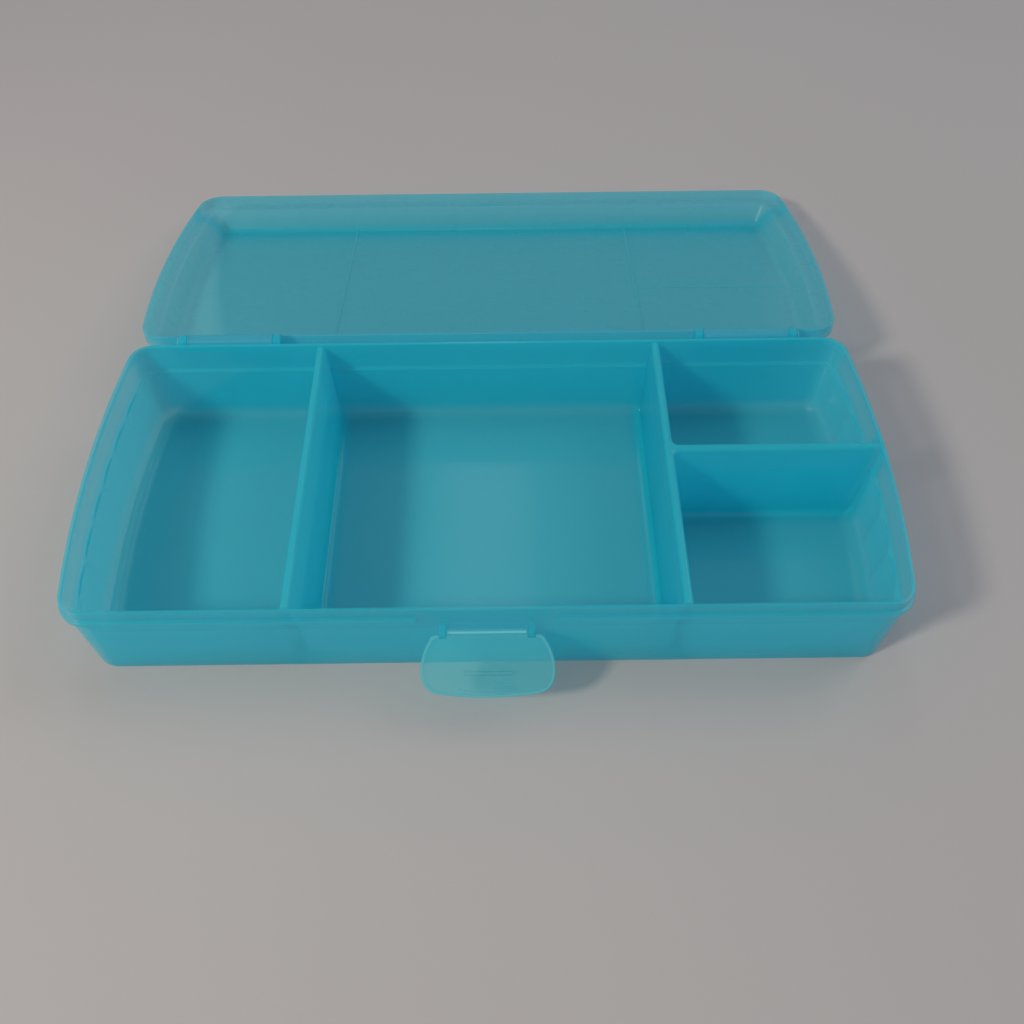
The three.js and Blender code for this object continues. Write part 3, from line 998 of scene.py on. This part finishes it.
def barrel_painted_highlight(tree, coordinates):
    """1 along the top of the latch's barrel, where a pale highlight is painted on."""
    x, y, z = axes(tree, coordinates)
    off_y = distance(tree, y, LATCH_Y + LATCH_BARREL_RADIUS * math.sin(HIGHLIGHT_ANGLE))
    off_z = distance(tree, z, LATCH_Z + LATCH_BARREL_RADIUS * math.cos(HIGHLIGHT_ANGLE))
    squares = [maths(tree, "MULTIPLY", off, off) for off in (off_y, off_z)]
    apart = maths(tree, "SQRT", maths(tree, "ADD", *squares))
    on_line = rest_of(tree, smooth_step(tree, apart, HIGHLIGHT_CORE, HIGHLIGHT_WIDTH))
    past_end = smooth_step(
        tree, distance(tree, x, 0), LATCH_BARREL_HALF - 1.0, LATCH_BARREL_HALF
    )
    return maths(tree, "MULTIPLY", on_line, rest_of(tree, past_end))


def plastic_relief(tree, coordinates, satin):
    """A slow ripple, as moulded plastic has, and fine grain over it."""
    flow = noise(tree, coordinates, 60.0, 2.0, stretch=(0.3, 1.0, 1.0))
    grain = noise(tree, coordinates, 1400.0, 2.0)
    ripple = add_node(tree, "ShaderNodeBump", Strength=0.05, Distance=0.0004)
    texture = add_node(tree, "ShaderNodeBump", Strength=satin, Distance=0.00004)
    tree.links.new(flow, ripple.inputs["Height"])
    tree.links.new(grain, texture.inputs["Height"])
    tree.links.new(ripple.outputs["Normal"], texture.inputs["Normal"])
    return texture.outputs["Normal"]


def translucent_plastic(
    name, pale, deep, inner, glow, see_through, tint, roughness, satin, gloss=0.12,
    thickness_and_shade=None, painted_highlight=None,
):
    """Milky tinted polypropylene: pale where it is lit, deeper where light comes through.
    Thickness_and_shade is (colour, see_through, mask): where the mask is 0 the plastic has those
    instead; it serves both thicker plastic and painted shade. Painted_highlight makes a mask of
    where a pale highlight is painted on."""
    material, tree = new_material(name)
    coordinates = tree.nodes.new("ShaderNodeTexCoord")
    clouds = noise(tree, coordinates, 14.0, 3.0)
    scuffs = noise(tree, coordinates, 90.0, 3.0, stretch=(1.0, 1.3, 1.0))

    colour = mixed_colour(tree, clouds, pale, deep)
    clear_share = see_through
    if thickness_and_shade is not None:
        deep_and_shade_colour, deep_and_shade_see_through, mask = thickness_and_shade
        thin_and_unshaded = mask(tree, coordinates)
        colour = mixed_colour(tree, thin_and_unshaded, deep_and_shade_colour, colour)
        gain = maths(tree, "MULTIPLY", thin_and_unshaded, see_through - deep_and_shade_see_through)
        clear_share = maths(tree, "ADD", gain, deep_and_shade_see_through)
    if painted_highlight is not None:
        # Painted highlight: paler colour and less see-through where the mask is 1.
        highlight_mask = painted_highlight(tree, coordinates)
        colour = mixed_colour(tree, highlight_mask, colour, PAINTED_HIGHLIGHT_COLOUR)
        clear_share = maths(tree, "MULTIPLY", rest_of(tree, highlight_mask), see_through)

    front = add_node(
        tree, "ShaderNodeBsdfPrincipled",
        IOR=1.49, Specular_IOR_Level=0.5, Coat_Weight=1.0, Coat_Roughness=gloss, Coat_IOR=1.5,
    )
    rough = spread(tree, scuffs, roughness - 0.04, roughness + 0.06)
    tree.links.new(colour, front.inputs["Base Color"])
    tree.links.new(rough, front.inputs["Roughness"])
    tree.links.new(plastic_relief(tree, coordinates, satin), front.inputs["Normal"])
    through = add_node(tree, "ShaderNodeBsdfTranslucent", Color=inner)
    body = add_node(tree, "ShaderNodeMixShader", Fac=glow)
    tree.links.new(front.outputs["BSDF"], body.inputs[1])
    tree.links.new(through.outputs["BSDF"], body.inputs[2])
    clear = add_node(tree, "ShaderNodeBsdfTransparent", Color=tint)
    surface = tree.nodes.new("ShaderNodeMixShader")
    feed(tree, surface.inputs["Fac"], clear_share)
    tree.links.new(body.outputs["Shader"], surface.inputs[1])
    tree.links.new(clear.outputs["BSDF"], surface.inputs[2])
    output = tree.nodes.new("ShaderNodeOutputMaterial")
    tree.links.new(surface.outputs["Shader"], output.inputs["Surface"])
    return material


def tray_plastic():
    """Clear in the floor and the rim, deep in the dividers, with painted shade on the back rim.
    """
    return translucent_plastic(
        "tray plastic",
        pale=(0.08, 0.89, 1.0, 1), deep=(0.05, 0.86, 0.98, 1), inner=(0.14, 0.88, 1.0, 1),
        glow=0.5, see_through=0.48, tint=(0.97, 0.96, 0.99, 1),
        roughness=0.17, satin=0.2, gloss=0.06,
        thickness_and_shade=((0.02, 0.86, 0.99, 1), 0.10, tray_thin_and_unshaded_share),
    )


def lid_plastic():
    """More satin than the tray, with painted shade: deeper and less clear along the panel's
    front edge.
    """
    return translucent_plastic(
        "lid plastic",
        pale=(0.22, 0.89, 0.99, 1), deep=(0.18, 0.87, 0.97, 1), inner=(0.12, 0.88, 1.0, 1),
        glow=0.5, see_through=0.50, tint=(0.82, 0.95, 0.99, 1),
        roughness=0.28, satin=0.4, gloss=0.2,
        thickness_and_shade=((0.04, 0.84, 0.97, 1), 0.38, outside_painted_shade_band),
    )


def latch_plastic():
    """The clearest and glossiest, with a pale highlight painted along the barrel."""
    return translucent_plastic(
        "latch plastic",
        pale=(0.20, 0.92, 1.0, 1), deep=(0.16, 0.90, 0.99, 1), inner=(0.16, 0.90, 1.0, 1),
        glow=0.35, see_through=0.62, tint=(0.86, 0.98, 0.99, 1),
        roughness=0.12, satin=0.05, gloss=0.05, painted_highlight=barrel_painted_highlight,
    )


def border_highlight_plastic():
    """The latch's plastic along its raised border, paler: a painted highlight on the flap's
    edges.
    """
    return translucent_plastic(
        "latch border painted highlight plastic",
        pale=(0.36, 0.95, 1.0, 1), deep=(0.30, 0.93, 1.0, 1), inner=(0.2, 0.95, 1.0, 1),
        glow=0.35, see_through=0.55, tint=(0.86, 0.98, 0.99, 1),
        roughness=0.12, satin=0.05, gloss=0.05,
    )


def pin_plastic():
    """Nearly solid."""
    return translucent_plastic(
        "pin plastic",
        pale=(0.20, 0.86, 0.96, 1), deep=(0.16, 0.84, 0.94, 1), inner=(0.07, 0.84, 0.96, 1),
        glow=0.4, see_through=0.05, tint=(0.50, 0.92, 0.96, 1), roughness=0.18, satin=0.1,
    )


def cloth():
    """A pale table cloth with a faint weave."""
    material, tree = new_material("pale cloth")
    coordinates = tree.nodes.new("ShaderNodeTexCoord")
    patches = noise(tree, coordinates, 3.0, 4.0)
    weave = noise(tree, coordinates, 900.0, 2.0)
    colour = mixed_colour(tree, patches, (0.585, 0.572, 0.572, 1), (0.635, 0.625, 0.625, 1))
    bump = add_node(tree, "ShaderNodeBump", Strength=0.15, Distance=0.0002)
    surface = add_node(tree, "ShaderNodeBsdfPrincipled", Roughness=0.85)
    output = tree.nodes.new("ShaderNodeOutputMaterial")
    tree.links.new(weave, bump.inputs["Height"])
    tree.links.new(colour, surface.inputs["Base Color"])
    tree.links.new(bump.outputs["Normal"], surface.inputs["Normal"])
    tree.links.new(surface.outputs["BSDF"], output.inputs["Surface"])
    return material


# ------------------------------------------------------------ the scene


def add_floor():
    """A wide sheet just under the box's feet."""
    reach = 3000.0
    corners = [(-reach, -reach), (reach, -reach), (reach, reach), (-reach, reach)]
    floor = to_object("floor", [(x, y, -0.05) for x, y in corners], [(0, 1, 2, 3)])
    floor.data.materials.append(cloth())


def add_area_light(name, position, target, size, power, length=None):
    """A disc of the given size, or with length a strip whose long side runs along Y."""
    light = bpy.data.lights.new(name, "AREA")
    light.shape = "DISK" if length is None else "RECTANGLE"
    light.size = size
    if length is not None:
        light.size_y = length
    light.energy = power
    lamp = bpy.data.objects.new(name, light)
    lamp.location = position
    lamp.rotation_euler = (Vector(target) - Vector(position)).to_track_quat("-Z", "Y").to_euler()
    bpy.context.scene.collection.objects.link(lamp)
    return lamp


def add_light():
    """A small warm key at the front left, a weak fill at the back right and an overhead
    strip, made of three widths so that its reflection in the floor has soft sides."""
    world = bpy.data.worlds.new("studio")
    world.use_nodes = True
    background = world.node_tree.nodes["Background"]
    background.inputs["Color"].default_value = WORLD_COLOUR
    background.inputs["Strength"].default_value = WORLD_STRENGTH
    bpy.context.scene.world = world
    key = add_area_light("key", KEY_PLACE, BOX_MIDDLE, size=0.21, power=7.25)
    key.data.color = KEY_COLOUR
    add_area_light("fill", FILL_PLACE, BOX_MIDDLE, size=0.9, power=2.9)
    for width in STRIP_WIDTHS:
        add_area_light("strip", STRIP_PLACE, STRIP_TARGET, size=width, power=0.33, length=1.1)


def add_camera():
    """Looks down at the box from in front of the latch."""
    camera = bpy.data.cameras.new("camera")
    camera.sensor_width = SENSOR_WIDTH
    camera.lens = FOCAL_LENGTH
    camera.clip_start = 0.01
    camera.clip_end = 20.0
    forward = Vector((
        math.sin(CAMERA_YAW) * math.cos(CAMERA_PITCH),
        math.cos(CAMERA_YAW) * math.cos(CAMERA_PITCH),
        -math.sin(CAMERA_PITCH),
    ))
    level = Vector((math.cos(CAMERA_YAW), -math.sin(CAMERA_YAW), 0.0))
    upright = level.cross(forward)
    turn = Matrix.Rotation(CAMERA_ROLL, 3, forward)
    axes_in_world = Matrix((turn @ level, turn @ upright, -forward)).transposed()
    viewer = bpy.data.objects.new("photo_camera", camera)
    viewer.matrix_world = Matrix.Translation(CAMERA_PLACE) @ axes_in_world.to_4x4()
    bpy.context.scene.collection.objects.link(viewer)
    bpy.context.scene.camera = viewer


def show_pins():
    """Two hinge pins, mirror images of each other."""
    plastic = pin_plastic()
    right_pin = make_pin()
    left_pin = mirrored_copy(right_pin)
    finish_surface(left_pin, crease_degrees=PIN_CREASE_DEGREES)
    hang(right_pin, "hinge_pin_right", "tray_body", plastic, "right_pin")
    hang(left_pin, "hinge_pin_left", "tray_body", plastic, "left_pin")


def show_latch():
    """The latch and its raised border, which move together."""
    latch = latch_plastic()
    # The border's paler plastic is a painted highlight.
    border = border_highlight_plastic()
    hang(make_latch(), "latch", "latch_body", latch, "flap_latch")
    hang(make_flap_border(), "latch", "latch_body", border, "flap_border")


def show_box():
    """Every piece of the box, in its plastic."""
    tray = tray_plastic()
    lid = lid_plastic()
    hang(make_tray(), "divided_tray", "tray_body", tray, "tray")
    hang(make_lid(), "lid", "lid_body", lid, "domed_lid")
    show_latch()
    show_pins()


show_box()
add_floor()
add_light()
add_camera()

scene = bpy.context.scene
scene.view_settings.view_transform = "Standard"
scene.view_settings.exposure = 0.0
